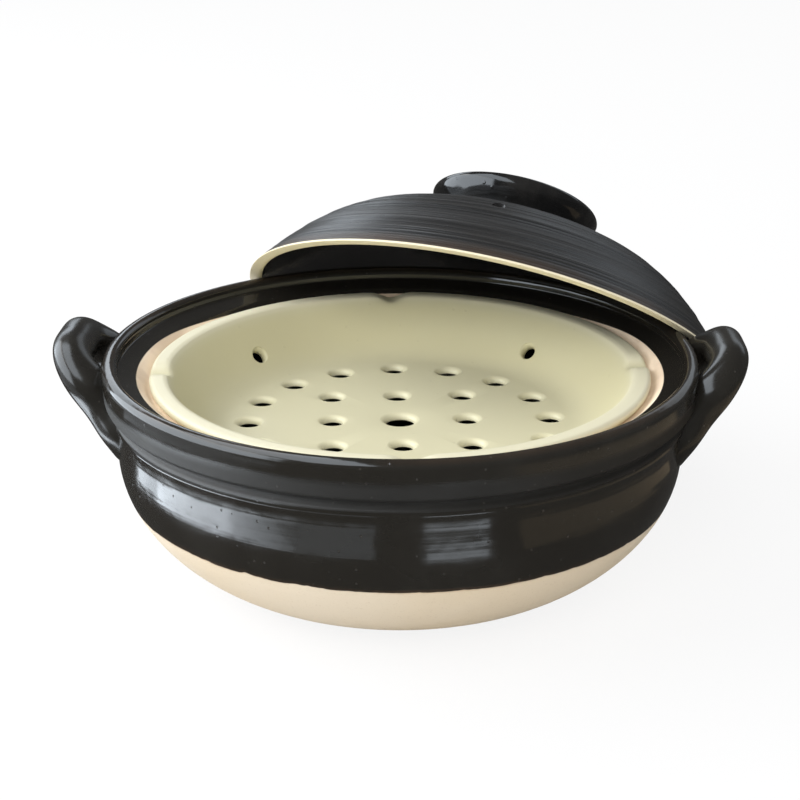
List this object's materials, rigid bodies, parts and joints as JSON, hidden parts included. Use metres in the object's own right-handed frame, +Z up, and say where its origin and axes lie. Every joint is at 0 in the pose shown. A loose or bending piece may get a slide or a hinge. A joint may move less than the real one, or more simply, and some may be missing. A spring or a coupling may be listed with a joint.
{
  "type": "clay steaming pot",
  "caption": "Round clay cooking pot with ear handles, a pierced steaming tray seated inside its rim, and a domed lid with a ring knob leaning against the rim.",
  "frame": {"origin": "centre of the pot's flat foot, on the surface it stands on", "axes": "+Z up along the pot's axis, +X towards the right ear handle, +Y towards the back where the lid leans"},
  "size_m": [0.3518, 0.3739, 0.1727],
  "materials": {
    "pot_glaze": "black glaze over buff clay, bare clay on the lower bowl and on the tray seat",
    "tray_glaze": "pale grey-green gloss glaze",
    "lid_glaze": "semi-matt black glaze over fine throwing ridges, bare clay edge",
    "knob_glaze": "gloss black glaze"
  },
  "bodies": {
    "pot": {"pot_body": "pot_glaze", "handle_left": "pot_glaze", "handle_right": "pot_glaze"},
    "tray": {"steam_tray": "tray_glaze"},
    "lid": {"lid_dome": "lid_glaze", "lid_knob": "knob_glaze"}
  },
  "joints": [
    {"name": "tray_lift", "type": "slide", "parent": "pot", "child": "tray", "axis": [0, 0, 1], "range_m": [0, 0.08]},
    {"name": "lid_lift", "type": "slide", "parent": "tray", "child": "lid", "axis": [0.2338, 0.5454, 0.8049], "range_m": [0, 0.2]}
  ]
}
